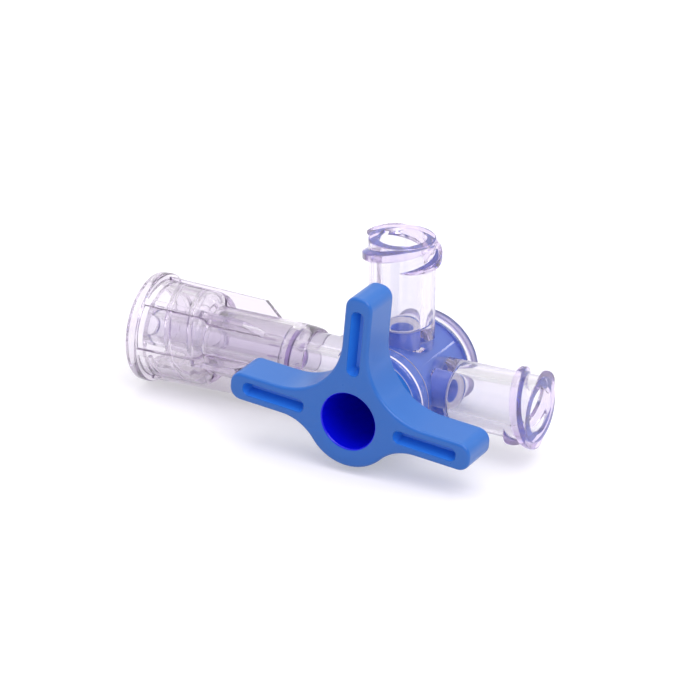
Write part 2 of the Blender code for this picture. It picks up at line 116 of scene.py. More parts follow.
# Plug, pressed into its tapered seat
SEAT_FRONT_RADIUS = 3.85 * MM
SEAT_REAR_RADIUS = 3.75 * MM
SEAT_PRESS = 0.01 * MM
SNAP_BEAD = 0.8 * MM
SNAP_BEAD_WIDTH = 0.3 * MM
SHOULDER_GAP = 0.12 * MM
PLUG_NOSE = 0.15 * MM
PLUG_NOSE_RADIUS = 3.6 * MM
CHANNEL_RADIUS = 1.1 * MM
REAR_CORE_RADIUS = 2.1 * MM
REAR_CORE_FLOOR = 2.2 * MM

# Band of the plug that shows through the body, where paler blue is painted as light and sheen
SEATED_LIGHT_RADIUS = 3.95 * MM
SEATED_LIGHT_DEPTH = 0.6 * MM

# Frosted faces of the body, and painted highlight bands round its front rims
FROST_MARGIN = 0.05 * MM
FROST_ROUGHNESS = 0.45
RIM_HIGHLIGHT_BAND = 0.12 * MM

# T handle
HANDLE_FRONT = 11.15 * MM
HANDLE_BACK = 6.6 * MM
HANDLE_TURN_DEG = 5.4
HUB_RADIUS = 4.8 * MM
ARM_REACH = 13.1 * MM
ARM_HALF_WIDTH = 1.43 * MM
ARM_TIP_ROUND = 1.2 * MM
ARM_CROTCH_RADIUS = 6.5 * MM
ARM_LOWER_FILLET = 4.7 * MM
HANDLE_EDGE = 0.32 * MM
HOLE_RADIUS = 2.85 * MM
HOLE_FLOOR = 2.4 * MM
HOLE_FLOOR_RADIUS = 2.7 * MM
HOLE_EDGE = 0.3 * MM
SLOT_START = 4.9 * MM
SLOT_END = 11.65 * MM
SLOT_WIDTH = 1.35 * MM
SLOT_DRAFT = 0.5 * MM
SLOT_DEPTH = 1.1 * MM
SLOT_CORNER = 0.6 * MM
SLOT_EDGE = 0.1 * MM

# Turning collar
COLLAR_RIM = 28.3 * MM
COLLAR_END = 9.5 * MM
COLLAR_GAP = 0.05 * MM
LIP_WIDTH = 1.1 * MM
LIP_RADIUS = 5.55 * MM
LIP_EDGE = 0.2 * MM
CUP_RADIUS = 4.9 * MM
CUP_REAR_RADIUS = 4.7 * MM
CUP_SHOULDER = 20.5 * MM
CUP_EDGE = 1.0 * MM
CUP_FLOOR_THICKNESS = 0.8 * MM
CUP_FLOOR_EDGE = 0.9 * MM
CUP_BORE_RADIUS = 4.0 * MM
MOUTH_RADIUS = 4.3 * MM
MOUTH_DEPTH = 1.8 * MM
SLEEVE_RADIUS = 3.48 * MM
NOSE_LENGTH = 3.1 * MM
NOSE_RADIUS = 3.22 * MM
SNAP_RIB_GAP = 0.18 * MM
RIB_COUNT = 6
RIB_ANGLE_DEG = 38.0
RIB_THICKNESS = 0.75 * MM
RIB_RIM_RADIUS = 5.23 * MM
RIB_REAR_RADIUS = 4.9 * MM
RIB_EDGE = 0.08 * MM
RIB_EDGE_FACETS = 2
ROUND_PROFILE = 0.5
FIN_END = 16.1 * MM
FIN_TOE = 14.1 * MM
FIN_TOE_RADIUS = 3.38 * MM

# Thread inside the collar
THREAD_CREST_RADIUS = 3.7 * MM
THREAD_ROOT_WIDTH = 0.7 * MM
THREAD_CREST_WIDTH = 0.3 * MM
THREAD_START = 21.2 * MM
THREAD_END = 26.2 * MM
THREAD_STARTS = 2
THREAD_PHASE_DEG = 70.0
THREAD_STEP_DEG = 5.0

# Camera, at the photograph's angle
CAMERA_AZIMUTH_DEG = 28.3
CAMERA_ELEVATION_DEG = 23.8
CAMERA_DISTANCE = 420.0 * MM
CAMERA_LENS_MM = 220.3
SENSOR_MM = 36.0
VIEW_LEFT_OF_CROSSING = 5.06 * MM
VIEW_ABOVE_CROSSING = 2.93 * MM
NEAREST_SEEN = 10.0 * MM

# Soft lamps that look at the part: name, place, size and power
LAMPS = (
    ("top_lamp", (0.05, 0.0, 0.7), 0.6, 1.8),
    ("side_lamp", (0.36, -0.22, 0.46), 0.4, 1.6),
    ("window_lamp", (0.32, 0.57, 0.27), 0.035, 0.016),
)

# Pale room: how far round from behind the camera it goes from dim to white
ROOM_DIM_FROM = -0.6
ROOM_WHITE_FROM = 0.5
ROOM_DIM = (0.50, 0.41, 0.66, 1.0)
ROOM_WHITE = (0.95, 0.95, 0.95, 1.0)

# Ground the part rests on
FLOOR_SIZE = 6.0
GROUND_WHITE = 0.64
GROUND_GLOW = 0.40
WHITE = (1.0, 1.0, 1.0, 1.0)

# Grain and waves that moulding leaves on a surface
NOISE_DETAIL = 3.0
GRAIN_SCALE = 900.0
WAVE_SCALE = 400.0
WAVE_DETAIL = 2.0
WAVE_HEIGHT = 0.003 * MM

# Blues of the handle: its faces, painted light on the plug seen through the body and in the slots, and
# painted shade in the hole
BLUE_FACE_DEEP = (0.014, 0.146, 0.49, 1.0)
BLUE_FACE_PALE = (0.022, 0.160, 0.52, 1.0)
# Painted light and sheen: paler blue where the plug shows through the body
BLUE_SEATED_PAINTED_LIGHT = (0.10, 0.28, 0.96, 1.0)
# Painted light: brighter blue on the slot walls
BLUE_SLOT_PAINTED_LIGHT = (0.024, 0.210, 0.72, 1.0)
# Painted shade: deep navy inside the hole
BLUE_HOLE_PAINTED_SHADE = (0.001, 0.003, 0.70, 1.0)
BLUE_MOTTLE_SCALE = 260.0
BLUE_ROUGHNESS = (0.26, 0.32)

# Clear plastics: tint at each surface, clarity, and tint along the walls, with painted reflections on the
# flange, lumens and lugs, painted highlights on the cup floors and rims, and painted shade at the collar's
# snap rib
CLEAR_INDEX = 1.58
CLEAR_ROUGHNESS = (0.0, 0.05)
CLEAR_TINT = (0.952, 0.956, 0.962, 1.0)
CLEAR_CLARITY = 0.96
CLEAR_DEPTH_TINT = (0.82, 0.72, 0.90, 1.0)
# Painted reflection: violet grey on the flange's outer face
FLANGE_PAINTED_REFLECTION = (0.50, 0.42, 0.68, 1.0)
# Painted reflection: blue of the plug in the lumens
LUMEN_PAINTED_REFLECTION = (0.24, 0.38, 1.0, 1.0)
LUMEN_CLARITY = 0.1
# Painted highlight: near white on the cup floors and front rims
PAINTED_HIGHLIGHT_TINT = (0.97, 0.96, 1.0, 1.0)
PAINTED_HIGHLIGHT_CLARITY = 0.05
# Painted reflection: violet haze on the lugs and end faces
LUG_PAINTED_REFLECTION = (0.85, 0.75, 0.95, 1.0)
LUG_CLARITY = 0.90
LILAC_TINT = (0.965, 0.945, 0.970, 1.0)
LILAC_CLARITY = 0.94
LILAC_DEPTH_TINT = (0.52, 0.34, 0.62, 1.0)
# Painted shade: dark violet at the collar's snap rib
SNAP_RIB_PAINTED_SHADE = (0.26, 0.15, 0.48, 1.0)
WALL_DENSITY = 100.0

# Turns that light may take inside the clear walls
LIGHT_TURNS = 24

AXIS_Z = Matrix.Identity(4)
AXIS_X = Matrix.Rotation(math.radians(90), 4, "Y")
AXIS_MINUS_X = Matrix.Rotation(math.radians(-90), 4, "Y")
AXIS_Y = Matrix.Rotation(math.radians(-90), 4, "X")


def joint_place(name):
    """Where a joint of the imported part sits."""
    return Vector(next(joint["pos_m"] for joint in frame["joints"] if joint["name"] == name))


CROSSING = joint_place("handle_turn")


def arc(centre, radius, start_deg, end_deg, facets=ARC_FACETS):
    """Points along an arc, both ends included."""
    points = []
    for step in range(facets + 1):
        angle = math.radians(start_deg + (end_deg - start_deg) * step / facets)
        points.append((centre[0] + radius * math.cos(angle), centre[1] + radius * math.sin(angle)))
    return points


def eased(corners):
    """An open outline of (along, radius, round) corners with each corner rounded."""
    points = []
    for index, (along, radius, size) in enumerate(corners):
        corner = Vector((along, radius))
        if size == 0 or index in (0, len(corners) - 1):
            points.append(tuple(corner))
            continue
        before = (Vector(corners[index - 1][:2]) - corner).normalized()
        after = (Vector(corners[index + 1][:2]) - corner).normalized()
        for step in range(ROUND_FACETS + 1):
            share = step / ROUND_FACETS
            bend = before * (1 - share) ** 2 + after * share ** 2
            points.append(tuple(corner + bend * size))
    return points


def mesh_object(name, bm):
    """A bmesh made an object, with its doubles merged and its faces pointing out."""
    bmesh.ops.remove_doubles(bm, verts=bm.verts, dist=MERGE_DISTANCE)
    bmesh.ops.recalc_face_normals(bm, faces=bm.faces)
    mesh = bpy.data.meshes.new(name)
    bm.to_mesh(mesh)
    bm.free()
    obj = bpy.data.objects.new(name, mesh)
    bpy.context.scene.collection.objects.link(obj)
    return obj


def turned(name, outline, axis, facets=TURN_FACETS):
    """A solid of revolution from (along, radius) points."""
    bm = bmesh.new()
    points = [bm.verts.new((radius, 0, along)) for along, radius in outline]
    edges = [bm.edges.new(pair) for pair in zip(points, points[1:])]
    if outline[0][1] > 0 or outline[-1][1] > 0:
        edges.append(bm.edges.new((points[-1], points[0])))
    bmesh.ops.spin(bm, geom=points + edges, cent=(0, 0, 0), axis=(0, 0, 1),
                   angle=math.tau, steps=facets, use_merge=True)
    bmesh.ops.remove_doubles(bm, verts=bm.verts, dist=MERGE_DISTANCE)
    bmesh.ops.dissolve_degenerate(bm, dist=MERGE_DISTANCE, edges=bm.edges)
    bmesh.ops.transform(bm, matrix=axis, verts=bm.verts)
    return mesh_object(name, bm)


def combined(obj, joins=(), cuts=(), trims=()):
    """One solid from an object and its tools, which are used up."""
    for tools, operation in ((joins, "UNION"), (trims, "INTERSECT"), (cuts, "DIFFERENCE")):
        for tool in tools:
            step = obj.modifiers.new(operation.lower(), "BOOLEAN")
            step.operation = operation
            step.solver = "MANIFOLD"
            step.object = tool
    bpy.context.view_layer.update()
    shaped = obj.evaluated_get(bpy.context.evaluated_depsgraph_get())
    mesh = bpy.data.meshes.new_from_object(shaped)
    obj.modifiers.clear()
    obj.data = mesh
    for tool in [*joins, *cuts, *trims]:
        bpy.data.objects.remove(tool, do_unlink=True)
    return obj


def finish_moulding(obj, material, body, node):
    """Place a moulding in the frame, smooth it, and let it stand for its solid."""
    bm = bmesh.new()
    bm.from_mesh(obj.data)
    bmesh.ops.translate(bm, vec=CROSSING, verts=bm.verts)
    bm.to_mesh(obj.data)
    bm.free()
    obj.data.materials.clear()
    obj.data.materials.append(material)
    obj.data.shade_smooth()
    obj.data.set_sharp_from_angle(angle=math.radians(SHARP_DEG))
    even = obj.modifiers.new("even_shading", "WEIGHTED_NORMAL")
    even.keep_sharp = True
    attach(obj, body)
    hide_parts(node)


def around(count, first_deg=0.0):
    """Angles that share a full turn evenly."""
    return [first_deg + 360.0 * number / count for number in range(count)]


def thread_ridge(name, axis, section, first_deg, sweep_deg, step_deg):
    """A ridge with the given (radius, height) section, swept along the lock's right-hand helix."""
    steps = math.ceil(sweep_deg / step_deg)
    rise = LUG_LEAD * sweep_deg / 360.0
    bm = bmesh.new()
    first = [bm.verts.new((radius, 0, height)) for radius, height in section]
    loop = [bm.edges.new((first[i - 1], first[i])) for i in range(len(first))]
    swept = bmesh.ops.spin(bm, geom=first + loop, cent=(0, 0, 0), axis=(0, 0, 1),
                           dvec=(0, 0, rise / steps), angle=math.radians(sweep_deg), steps=steps)
    last = [item for item in swept["geom_last"] if isinstance(item, bmesh.types.BMVert)]
    bm.faces.new(first)
    bmesh.ops.contextual_create(bm, geom=last)
    turn = Matrix.Rotation(math.radians(first_deg), 4, "Z")
    bmesh.ops.transform(bm, matrix=axis @ turn, verts=bm.verts)
    return mesh_object(name, bm)


def barrel_outline():
    """Outside of the barrel, front rim to rear flange."""
    flange_front = BARREL_REAR - FLANGE_THICKNESS
    return eased([
        (-BARREL_FRONT, 0, 0),
        (-BARREL_FRONT, BARREL_FRONT_RADIUS, BARREL_EDGE),
        (flange_front, BARREL_REAR_RADIUS, FLANGE_FILLET),
        (flange_front, FLANGE_RADIUS, FLANGE_EDGE / 2),
        (BARREL_REAR, FLANGE_RADIUS, FLANGE_EDGE),
        (BARREL_REAR, 0, 0),
    ])


def plug_bore_outline():
    """Inside of the barrel: handle recess, tapered seat and snap recess."""
    recess_floor = RECESS_DEPTH - BARREL_FRONT
    snap_floor = BARREL_REAR - SNAP_RECESS_DEPTH
    return eased([
        (-BARREL_FRONT - CUT_OVERRUN, 0, 0),
        (-BARREL_FRONT - CUT_OVERRUN, RECESS_RADIUS, 0),
        (recess_floor, RECESS_RADIUS, RECESS_EDGE),
        (recess_floor, SEAT_FRONT_RADIUS, 0),
        (snap_floor, SEAT_REAR_RADIUS, 0),
        (snap_floor, SNAP_RECESS_RADIUS, RECESS_EDGE),
        (BARREL_REAR + CUT_OVERRUN, SNAP_RECESS_RADIUS, 0),
        (BARREL_REAR + CUT_OVERRUN, 0, 0),
    ])


def port_outline():
    """Outside of a female port."""
    return eased([
        (LUMEN_RADIUS, 0, 0),
        (LUMEN_RADIUS, PORT_ROOT_RADIUS, 0),
        (PORT_REACH, PORT_END_RADIUS, PORT_EDGE),
        (PORT_REACH, 0, 0),
    ])


def luer_bore_outline():
    """Tapered luer bore with its lead-in, and the lumen behind it."""
    floor = PORT_REACH - LUER_DEPTH
    floor_radius = LUER_OPEN_RADIUS - LUER_TAPER_SHARE * LUER_DEPTH
    return eased([
        (LUMEN_RADIUS, 0, 0),
        (LUMEN_RADIUS, LUMEN_RADIUS, 0),
        (floor, LUMEN_RADIUS, LUER_FLOOR_EDGE),
        (floor, floor_radius, LUER_FLOOR_EDGE),
        (PORT_REACH - LUER_CHAMFER, LUER_OPEN_RADIUS, PORT_EDGE),
        (PORT_REACH + CUT_OVERRUN, LUER_OPEN_RADIUS + LUER_CHAMFER + CUT_OVERRUN, 0),
        (PORT_REACH + CUT_OVERRUN, 0, 0),
    ])


def stem_outline():
    """Outside of the male stem: root, neck with its groove, shoulder and luer cone."""
    groove_radius = STEM_RADIUS - GROOVE_DEPTH
    groove_end = GROOVE_START + GROOVE_WIDTH
    cone_root_radius = CONE_TIP_RADIUS + CONE_TAPER_SHARE * (CONE_TIP - STEM_SHOULDER)
    return eased([
        (STEM_LUMEN_RADIUS, 0, 0),
        (STEM_LUMEN_RADIUS, STEM_ROOT_RADIUS, 0),
        (STEM_STEP, STEM_ROOT_RADIUS, STEM_EDGE),
        (STEM_STEP, STEM_RADIUS, STEM_EDGE),
        (GROOVE_START, STEM_RADIUS, STEM_EDGE / 2),
        (GROOVE_START, groove_radius, STEM_EDGE / 2),
        (groove_end, groove_radius, STEM_EDGE / 2),
        (groove_end, STEM_RADIUS, STEM_EDGE / 2),
        (STEM_SHOULDER, STEM_RADIUS, STEM_EDGE),
        (STEM_SHOULDER, cone_root_radius, STEM_EDGE),
        (CONE_TIP, CONE_TIP_RADIUS, CONE_TIP_EDGE),
        (CONE_TIP, 0, 0),
    ])


def lug(axis, start_deg):
    """One start of the lock thread outside a port, trimmed to its band."""
    sweep_deg = 360.0 * (LUG_BAND + LUG_ROOT_WIDTH) / LUG_LEAD
    below = LUG_BAND + LUG_ROOT_WIDTH / 2 - LUG_CENTRE_FROM_END
    base = PORT_REACH - LUG_BAND - LUG_ROOT_WIDTH / 2
    half_root = LUG_ROOT_WIDTH / 2
    half_crest = LUG_CREST_WIDTH / 2
    root = PORT_ROOT_RADIUS - LUG_SINK
    section = eased([
        (root, base - half_root, 0),
        (PORT_END_RADIUS, base - half_root, LUG_CREST_EDGE),
        (LUG_RADIUS, base - half_crest, LUG_CREST_EDGE),
        (LUG_RADIUS, base + half_crest, LUG_CREST_EDGE),
        (PORT_END_RADIUS, base + half_root, LUG_CREST_EDGE),
        (root, base + half_root, 0),
    ])
    first_deg = start_deg - 360.0 * below / LUG_LEAD
    ridge = thread_ridge("lug", axis, section, first_deg, sweep_deg, LUG_STEP_DEG)
    top = PORT_REACH - LUG_SETBACK
    wide = LUG_RADIUS + CUT_OVERRUN
    bottom = PORT_REACH - LUG_BAND
    band = turned("lug_band", [(bottom, 0), (bottom, wide), (top, wide), (top, 0)], axis)
    return combined(ridge, trims=[band])


def female_port(axis):
    """One female port with its lugs, still solid."""
    port = turned("port", port_outline(), axis)
    return combined(port, joins=[lug(axis, start_deg) for start_deg in around(LUG_STARTS)])


def clear_body(material):
    """The clear body: barrel, two female ports and the male stem."""
    body = turned("clear_body", barrel_outline(), AXIS_Y)
    stem = turned("stem", stem_outline(), AXIS_MINUS_X)
    joins = [female_port(AXIS_Z), female_port(AXIS_X), stem]
    past_tip = CONE_TIP + CUT_OVERRUN
    lumen = [(STEM_LUMEN_RADIUS, 0), (STEM_LUMEN_RADIUS, STEM_LUMEN_RADIUS),
             (past_tip, STEM_LUMEN_RADIUS), (past_tip, 0)]
    cuts = [turned("plug_bore", plug_bore_outline(), AXIS_Y)]
    cuts += [turned("luer_bore", luer_bore_outline(), axis, BORE_FACETS) for axis in (AXIS_Z, AXIS_X)]
    cuts.append(turned("stem_lumen", lumen, AXIS_MINUS_X, BORE_FACETS))
    combined(body, joins=joins, cuts=cuts)
    finish_moulding(body, material, "body", "stopcock_body")


def arm_tip(turn_deg, inset):
    """Rounded end of one arm, right side first."""
    inner = ARM_HALF_WIDTH - ARM_TIP_ROUND
    reach = ARM_REACH - ARM_TIP_ROUND
    size = ARM_TIP_ROUND - inset
    local = arc((reach, -inner), size, -90, 0) + arc((reach, inner), size, 0, 90)
    turn = Matrix.Rotation(math.radians(turn_deg), 2)
    return [tuple(turn @ Vector(point)) for point in local]


def handle_outline(inset):
    """Outline of the T plate, drawn in by an inset, anticlockwise from the right arm's tip."""
    crotch = ARM_HALF_WIDTH + ARM_CROTCH_RADIUS
    low = ARM_HALF_WIDTH + ARM_LOWER_FILLET
    span = math.sqrt((HUB_RADIUS + ARM_LOWER_FILLET) ** 2 - low ** 2)
    hub_deg = math.degrees(math.atan2(low, span))
    fillet = ARM_LOWER_FILLET + inset
    outline = arm_tip(0, inset)
    outline += arc((crotch, crotch), ARM_CROTCH_RADIUS + inset, 270, 180, 2 * ARC_FACETS)
    outline += arm_tip(90, inset)
    outline += arc((-crotch, crotch), ARM_CROTCH_RADIUS + inset, 0, -90, 2 * ARC_FACETS)
    outline += arm_tip(180, inset)
    outline += arc((-span, -low), fillet, 90, hub_deg)
    outline += arc((0, 0), HUB_RADIUS - inset, 180 + hub_deg, 360 - hub_deg, 3 * ARC_FACETS)[1:-1]
    outline += arc((span, -low), fillet, 180 - hub_deg, 90)
    return outline


def ring_outline(radius):
    """A full circle in the handle's plane."""
    return arc((0, 0), radius, 0, 360, BORE_FACETS)[:-1]


def slot_outline(turn_deg, grow):
    """Rounded outline of the slot along one arm."""
    left, right = SLOT_START + SLOT_CORNER, SLOT_END - SLOT_CORNER
    side = SLOT_WIDTH / 2 - SLOT_CORNER
    points = []
    for quarter, centre in enumerate([(right, -side), (right, side), (left, side), (left, -side)]):
        start_deg = 90 * (quarter - 1)
        points += arc(centre, SLOT_CORNER + grow, start_deg, start_deg + 90, ROUND_FACETS)
    turn = Matrix.Rotation(math.radians(turn_deg), 2)
    return [tuple(turn @ Vector(point)) for point in points]


def add_loop(bm, outline, y):
    """One closed loop of vertices at a depth y, with its edges."""
    verts = [bm.verts.new((u, y, w)) for u, w in outline]
    for i in range(len(verts)):
        bm.edges.new((verts[i - 1], verts[i]))
    return verts


def join_loops(bm, loops):
    """Walls between successive loops of the same count."""
    for lower, upper in zip(loops, loops[1:]):
        for i in range(len(lower)):
            bm.faces.new((lower[i - 1], lower[i], upper[i], upper[i - 1]))


def fill_between(bm, loops):
    """A flat face inside the first loop, open at the others."""
    edges = set()
    for loop in loops:
        edges.update(bm.edges.get((loop[i - 1], loop[i])) for i in range(len(loop)))
    bmesh.ops.triangle_fill(bm, use_beauty=True, edges=list(edges))


def edge_steps(size):
    """(inset, drop) pairs round a quarter circle, from the flat face down to the side."""
    pairs = []
    for step in range(ROUND_FACETS + 1):
        angle = math.radians(90.0 * step / ROUND_FACETS)
        pairs.append((size * (1 - math.sin(angle)), size * (1 - math.cos(angle))))
    return pairs


def sunk_loops(bm, shape, edge, depth, draft):
    """Loops of a pocket in the front face: lip round, wall and floor."""
    loops = [add_loop(bm, shape(inset), -HANDLE_FRONT + drop) for inset, drop in edge_steps(edge)]
    loops.append(add_loop(bm, shape(-draft), -HANDLE_FRONT + depth))
    join_loops(bm, loops)
    fill_between(bm, loops[-1:])
    return loops[0]


def plug_loops(bm):
    """Loops of the plug, from the back of the plate to its rear end."""
    recess_floor = RECESS_DEPTH - BARREL_FRONT
    shoulder = recess_floor - SHOULDER_GAP
    bead = BARREL_REAR - SNAP_RECESS_DEPTH - SEAT_PRESS
    bead_end = BARREL_REAR - PLUG_NOSE
    seat_front = SEAT_FRONT_RADIUS + SEAT_PRESS
    seat_rear = SEAT_REAR_RADIUS + SEAT_PRESS
    shoulder_radius = RECESS_RADIUS + SEAT_PRESS
    outline = eased([
        (-HANDLE_BACK, shoulder_radius, 0),
        (shoulder, shoulder_radius, RECESS_EDGE),
        (shoulder, seat_front, 0),
        (bead, seat_rear, 0),
        (bead, seat_rear + SNAP_BEAD, RECESS_EDGE),
        (bead_end - SNAP_BEAD_WIDTH / 2, seat_rear + SNAP_BEAD, RECESS_EDGE),
        (bead_end, seat_rear, RECESS_EDGE),
        (bead_end + PLUG_NOSE, PLUG_NOSE_RADIUS, RECESS_EDGE),
        (bead_end + PLUG_NOSE, REAR_CORE_RADIUS, 0),
        (REAR_CORE_FLOOR, REAR_CORE_RADIUS, 0),
    ])
    loops = [add_loop(bm, ring_outline(radius), y) for y, radius in outline]
    join_loops(bm, loops)
    fill_between(bm, loops[-1:])
    return loops[0]


def handle_solid():
    """The T plate with its hole and slots, and the plug behind it."""
    bm = bmesh.new()
    steps = edge_steps(HANDLE_EDGE)
    front = [add_loop(bm, handle_outline(inset), -HANDLE_FRONT + drop) for inset, drop in steps]
    back = [add_loop(bm, handle_outline(inset), -HANDLE_BACK - drop) for inset, drop in steps]
    join_loops(bm, front + back[::-1])
    pockets = [sunk_loops(bm, lambda grow: ring_outline(HOLE_RADIUS + grow), HOLE_EDGE,
                          HANDLE_FRONT - HOLE_FLOOR, HOLE_RADIUS - HOLE_FLOOR_RADIUS)]
    for turn_deg in (0, 90, 180):
        pockets.append(sunk_loops(bm, lambda grow, at=turn_deg: slot_outline(at, grow), SLOT_EDGE,
                                  SLOT_DEPTH, SLOT_DRAFT))
    fill_between(bm, [front[0], *pockets])
    fill_between(bm, [back[0], plug_loops(bm)])
    return mesh_object("blue_handle", bm)


def channel(start, end, axis):
    """One straight leg of the T channel through the plug."""
    outline = [(start, 0), (start, CHANNEL_RADIUS), (end, CHANNEL_RADIUS), (end, 0)]
    return turned("channel", outline, axis, BORE_FACETS)


def blue_handle(material):
    """The blue handle and plug, turned a little past the ports as in the photograph."""
    handle = handle_solid()
    past_wall = SEAT_FRONT_RADIUS + CUT_OVERRUN
    combined(handle, cuts=[channel(-past_wall, past_wall, AXIS_X), channel(0, past_wall, AXIS_Z)])
    handle.data.transform(Matrix.Rotation(math.radians(HANDLE_TURN_DEG), 4, "Y"))
    finish_moulding(handle, material, "handle", "handle_plug")


def collar_outline():
    """Section of the collar: cup with lip, sleeve with rounded nose, and snap rib."""
    bore = STEM_RADIUS + COLLAR_GAP
    rib_radius = STEM_RADIUS - GROOVE_DEPTH + COLLAR_GAP
    rib_start = GROOVE_START + SNAP_RIB_GAP
    rib_end = GROOVE_START + GROOVE_WIDTH - SNAP_RIB_GAP
    lip_end = COLLAR_RIM - LIP_WIDTH
    floor = CUP_SHOULDER + CUP_FLOOR_THICKNESS
    drop = SLEEVE_RADIUS - NOSE_RADIUS
    outline = eased([
        (COLLAR_RIM, MOUTH_RADIUS, 0),
        (COLLAR_RIM, LIP_RADIUS, LIP_EDGE),
        (lip_end, LIP_RADIUS, LIP_EDGE),
        (lip_end, CUP_RADIUS, LIP_EDGE),
        (CUP_SHOULDER, CUP_REAR_RADIUS, CUP_EDGE),
        (CUP_SHOULDER, SLEEVE_RADIUS, LIP_EDGE),
        (COLLAR_END + NOSE_LENGTH, SLEEVE_RADIUS, 0),
    ])
    for step in range(1, ARC_FACETS + 1):
        angle = math.radians(90.0 * step / ARC_FACETS)
        along = COLLAR_END + NOSE_LENGTH * (1 - math.sin(angle))
        outline.append((along, SLEEVE_RADIUS - drop * (1 - math.cos(angle))))
    mouth_floor = COLLAR_RIM - MOUTH_DEPTH
    outline += eased([
        (COLLAR_END, bore, 0),
        (rib_start, bore, 0),
        (rib_start, rib_radius, 0),
        (rib_end, rib_radius, 0),
        (rib_end, bore, 0),
        (floor, bore, 0),
        (floor, CUP_BORE_RADIUS, CUP_FLOOR_EDGE),
        (mouth_floor, CUP_BORE_RADIUS, LIP_EDGE / 2),
        (mouth_floor + MOUTH_RADIUS - CUP_BORE_RADIUS, MOUTH_RADIUS, LIP_EDGE / 2),
        (COLLAR_RIM, MOUTH_RADIUS, 0),
    ])[:-1]
    return outline


def grip_rib(turn_deg):
    """One grip rib along the cup that goes on as a fin over the sleeve."""
    sunk = (CUP_BORE_RADIUS + CUP_REAR_RADIUS) / 2
    sleeve_sunk = (STEM_RADIUS + COLLAR_GAP + SLEEVE_RADIUS) / 2
    shoulder = CUP_SHOULDER + CUP_FLOOR_THICKNESS / 2
    outline = [
        (COLLAR_RIM - LIP_WIDTH / 2, sunk),
        (COLLAR_RIM - LIP_WIDTH / 2, RIB_RIM_RADIUS),
        (FIN_END, RIB_REAR_RADIUS),
        (FIN_TOE, FIN_TOE_RADIUS),
        (FIN_TOE, sleeve_sunk),
        (shoulder, sleeve_sunk),
        (shoulder, sunk),
    ]
    bm = bmesh.new()
    half = RIB_THICKNESS / 2
    face = bm.faces.new([bm.verts.new((-along, -half, radius)) for along, radius in outline])
    grown = bmesh.ops.extrude_face_region(bm, geom=[face], use_keep_orig=True)
    moved = [item for item in grown["geom"] if isinstance(item, bmesh.types.BMVert)]
    bmesh.ops.translate(bm, vec=(0, RIB_THICKNESS, 0), verts=moved)
    rims = [edge for edge in bm.edges if abs(edge.verts[0].co.y - edge.verts[1].co.y) < MERGE_DISTANCE]
    bmesh.ops.bevel(bm, geom=rims, offset=RIB_EDGE, offset_type="OFFSET", segments=RIB_EDGE_FACETS,
                    profile=ROUND_PROFILE, affect="EDGES", material=-1)
    bmesh.ops.transform(bm, matrix=Matrix.Rotation(math.radians(turn_deg), 4, "X"), verts=bm.verts)
    return mesh_object("grip_rib", bm)


def inner_thread(start_deg):
    """One start of the thread inside the collar's cup."""
    half_root = THREAD_ROOT_WIDTH / 2
    half_crest = THREAD_CREST_WIDTH / 2
    root = (CUP_BORE_RADIUS + CUP_REAR_RADIUS) / 2
    section = eased([
        (root, THREAD_START - half_root, 0),
        (CUP_BORE_RADIUS, THREAD_START - half_root, 0),
        (THREAD_CREST_RADIUS, THREAD_START - half_crest, LUG_CREST_EDGE),
        (THREAD_CREST_RADIUS, THREAD_START + half_crest, LUG_CREST_EDGE),
        (CUP_BORE_RADIUS, THREAD_START + half_root, 0),
        (root, THREAD_START + half_root, 0),
    ])
    sweep_deg = 360.0 * (THREAD_END - THREAD_START) / LUG_LEAD
    return thread_ridge("inner_thread", AXIS_MINUS_X, section, start_deg, sweep_deg, THREAD_STEP_DEG)


def lilac_collar(material):
    """The turning collar with its ribs and its inner thread."""
    collar = turned("lilac_collar", collar_outline(), AXIS_MINUS_X)
    ribs = [grip_rib(turn_deg) for turn_deg in around(RIB_COUNT, RIB_ANGLE_DEG)]
    threads = [inner_thread(start_deg) for start_deg in around(THREAD_STARTS, THREAD_PHASE_DEG)]
    combined(collar, joins=ribs + threads)
    finish_moulding(collar, material, "collar", "rotating_collar")


def new_material(name):
    """An empty node material and its node tree."""
    material = bpy.data.materials.new(name)
    material.use_nodes = True
    return material, material.node_tree


def feed(tree, socket, value):
    """Give an input another node's output or a plain value."""
    if isinstance(value, bpy.types.NodeSocket):
        tree.links.new(value, socket)
    else:
        socket.default_value = value


def maths(tree, operation, *operands):
    """One arithmetic node; an operand is a socket or a number."""
    node = tree.nodes.new("ShaderNodeMath")
    node.operation = operation
    for socket, value in zip(node.inputs, operands):
        feed(tree, socket, value)
    return node.outputs["Value"]


def tone_mix(tree, factor, first, second):
    """A mix of two colours, each a socket or a value."""
    mix = tree.nodes.new("ShaderNodeMix")
    mix.data_type = "RGBA"
    tree.links.new(factor, mix.inputs["Factor"])
    colours = {socket.name: socket for socket in mix.inputs if socket.type == "RGBA"}
    feed(tree, colours["A"], first)
    feed(tree, colours["B"], second)
    return next(socket for socket in mix.outputs if socket.type == "RGBA")


def object_noise(tree, scale, detail):
    """Noise on the moulding's own coordinates."""
    coords = tree.nodes.new("ShaderNodeTexCoord")
    noise = tree.nodes.new("ShaderNodeTexNoise")
    noise.inputs["Scale"].default_value = scale
    noise.inputs["Detail"].default_value = detail
    tree.links.new(coords.outputs["Object"], noise.inputs["Vector"])
    return noise.outputs["Fac"]


def grain(tree, low, high):
    """Roughness that varies between two values."""
    spread = tree.nodes.new("ShaderNodeMapRange")
    spread.inputs["To Min"].default_value = low
    spread.inputs["To Max"].default_value = high
    tree.links.new(object_noise(tree, GRAIN_SCALE, NOISE_DETAIL), spread.inputs["Value"])
    return spread.outputs["Result"]


def surface_waves(tree, shader):
    """A faint unevenness of the moulded surface."""
    bump = tree.nodes.new("ShaderNodeBump")
    bump.inputs["Strength"].default_value = 1.0
    bump.inputs["Distance"].default_value = WAVE_HEIGHT
    tree.links.new(object_noise(tree, WAVE_SCALE, WAVE_DETAIL), bump.inputs["Height"])
    tree.links.new(bump.outputs["Normal"], shader.inputs["Normal"])


